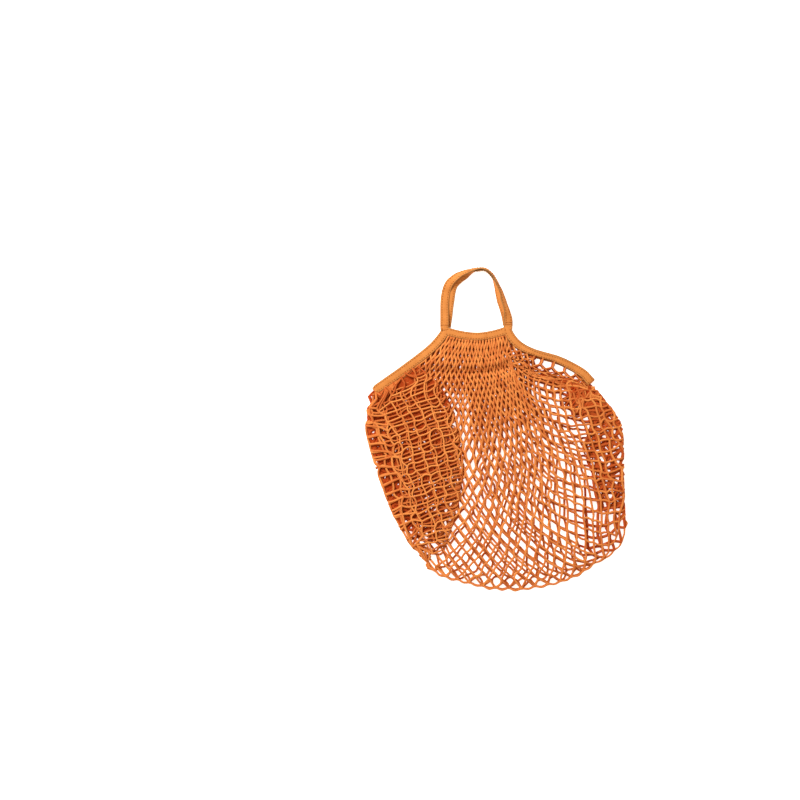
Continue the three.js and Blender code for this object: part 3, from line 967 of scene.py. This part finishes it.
# How each tape turns on its edge and lies aside of its line, at shares of the way along it
FRONT_TILTS = [
    (0, 0), (0.05, 0.3), (0.1, 0.8), (0.18, 0.95), (0.27, 1.2), (0.4, 1.35), (0.5, 1.3), (0.56, 1.05),
    (0.65, 0.6), (0.72, 0.1), (0.8, -0.12), (0.92, -0.12), (1, 0),
]
NO_INSETS = [(0, 0), (1, 0)]
BACK_TILTS = [
    (0, 0), (0.1, -0.2), (0.18, -0.5), (0.27, -0.9), (0.36, -1.75), (0.5, -1.75), (0.56, -0.6),
    (0.65, -0.4), (0.72, -0.15), (0.82, 0), (1, 0),
]
BACK_INSETS = [
    (0, 1.4), (0.1, 3.5), (0.18, 5), (0.27, 3.3), (0.36, 2.6), (0.5, 2.6), (0.56, 5.1), (0.65, 6.5),
    (0.72, 8.1), (0.82, 8.8), (0.93, 5.8), (1, 3.4),
]
LEFT_TILTS = [(0, 0), (0.3, 0.12), (0.6, -0.1), (1, 0)]
RIGHT_TILTS = [(0, 0), (0.3, -0.1), (0.6, 0.1), (1, 0)]
RIGHT_WIDTHS = [(0, 14), (0.2, 13), (0.38, 8), (0.55, 8), (0.75, 13), (1, 14.5)]
LEFT_END_WIDTH = 0.72
LEFT_END_TAPER = (2, 12)
RIGHT_FOOT_SEAMS = (3, 6.5)
LEFT_FOOT_SEAM = 4


def handle_stretch(tilts, insets, foot_height, rest_height):
    """A handle from its right foot to its left: its middle line and the way across it."""
    middle = flat_line(HANDLE, 0)
    across = left_of(middle)
    place = np.linspace(0, 1, len(middle))
    tilt = read_off(place, tilts)
    inset = read_off(place, insets)
    for _ in range(SMOOTHINGS):
        for values in (tilt, inset):
            values[1:-1] = (values[:-2] + 2 * values[1:-1] + values[2:]) / 4
    off_feet = smoothstep(place, 0, FOOT_SHARE) * smoothstep(1 - place, 0, FOOT_SHARE)
    middle = middle + across * inset[:, None]
    middle[:, 2] = mix(foot_height, rest_height, off_feet) + TAPE_WIDTH / 2 * np.abs(np.sin(tilt))
    across = across * np.cos(tilt)[:, None]
    across[:, 2] = np.sin(tilt)
    return middle, across


def binding_stretch(points, tilts):
    """The tape along one side of the mouth: down the front, folded over at the end and back underneath."""
    front = flat_line(points, FRONT_TAPE_HEIGHT)
    tilt = read_off(np.linspace(0, 1, len(front)), tilts)
    flat_across = left_of(front)
    across = flat_across * np.cos(tilt)[:, None]
    across[:, 2] = np.sin(tilt)
    out = front[-1] - front[-2]
    out /= np.linalg.norm(out)
    turn = np.linspace(0, np.pi, FOLD_STEPS)[1:-1, None]
    fold = front[-1] + FOLD_RADIUS * (out * np.sin(turn) + np.array([0, 0, 1]) * (np.cos(turn) - 1))
    back = front[::-1] * [1, 1, 0] + [0, 0, BACK_TAPE_HEIGHT]
    middle = np.concatenate([front, fold, back])
    return middle, np.concatenate([across, np.repeat(across[-1:], len(fold), axis=0), flat_across[::-1]])


front_handle, front_across = handle_stretch(FRONT_TILTS, NO_INSETS, FRONT_TAPE_HEIGHT, FRONT_HANDLE_HEIGHT)
left_middle, left_across = binding_stretch(LEFT_BINDING, LEFT_TILTS)
handle_length = line_reach(front_handle)[-1]
binding_end = len(front_handle) - 1 + len(left_middle) // 2
off_end = TAPE_STEP * np.abs(np.arange(len(front_handle) - 1 + len(left_middle)) - binding_end)
front_tape = sew_tape(
    "front_handle",
    np.concatenate([front_handle[:-1], left_middle]),
    np.concatenate([front_across[:-1], left_across]),
    TAPE_WIDTH * mix(LEFT_END_WIDTH, 1, smoothstep(off_end, *LEFT_END_TAPER)),
    cross_seams=(*RIGHT_FOOT_SEAMS, handle_length - LEFT_FOOT_SEAM, handle_length + LEFT_FOOT_SEAM),
)
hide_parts("tape_front_handle")
back_handle, back_across = handle_stretch(BACK_TILTS, BACK_INSETS, BACK_TAPE_HEIGHT, BACK_HANDLE_HEIGHT)
right_middle, right_across = binding_stretch(RIGHT_BINDING, RIGHT_TILTS)
front_steps = len(right_middle) // 2
right_widths = np.full(len(right_middle) + len(back_handle) - 1, TAPE_WIDTH)
right_widths[:front_steps] = read_off(np.linspace(0, 1, front_steps), RIGHT_WIDTHS)
back_tape = sew_tape(
    "back_handle",
    np.concatenate([right_middle, back_handle[1:]]),
    np.concatenate([right_across, -back_across[1:]]),
    right_widths,
)
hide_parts("tape_back_handle")

# The floor
# A smooth matte white table that glows softly from within, as a light table does, so that hardly a shadow
# falls on it.
white_table = new_material("white table")
table_skin = add_node(
    white_table, "ShaderNodeBsdfPrincipled", {
        "Base Color": linear("#F6F6F6"), "Roughness": 0.9,
        "Emission Color": linear("#FFFFFF"), "Emission Strength": 0.8,
    }
)
add_node(white_table, "ShaderNodeOutputMaterial", links={"Surface": table_skin.outputs["BSDF"]})
bpy.ops.mesh.primitive_plane_add(size=12)
table = bpy.context.object
table.name = "table"
table.data.materials.append(white_table)

# The light and the camera
# Soft warm light from all round with one large soft lamp from the upper left, and a camera straight above
# that sees the bag right of the middle of its picture.
world = bpy.data.worlds.new("studio")
world.use_nodes = True
world.node_tree.nodes["Background"].inputs["Color"].default_value = linear("#FFE4CA")
world.node_tree.nodes["Background"].inputs["Strength"].default_value = 0.6
bpy.context.scene.world = world
lamp_data = bpy.data.lights.new("soft lamp", "AREA")
lamp_data.shape = "SQUARE"
lamp_data.size = 0.9
lamp_data.energy = 52
lamp = bpy.data.objects.new("soft lamp", lamp_data)
lamp.location = (-0.9, 1.0, 1.6)
lamp.rotation_euler = (-0.56, -0.42, 0)
bpy.context.scene.collection.objects.link(lamp)
camera_data = bpy.data.cameras.new("camera")
camera_data.sensor_width = 36
camera_data.lens = 73.1
camera = bpy.data.objects.new("camera", camera_data)
camera.location = (-0.15425, 0.04306, 2.61)
bpy.context.scene.collection.objects.link(camera)
bpy.context.scene.camera = camera
bpy.context.scene.view_settings.view_transform = "Standard"
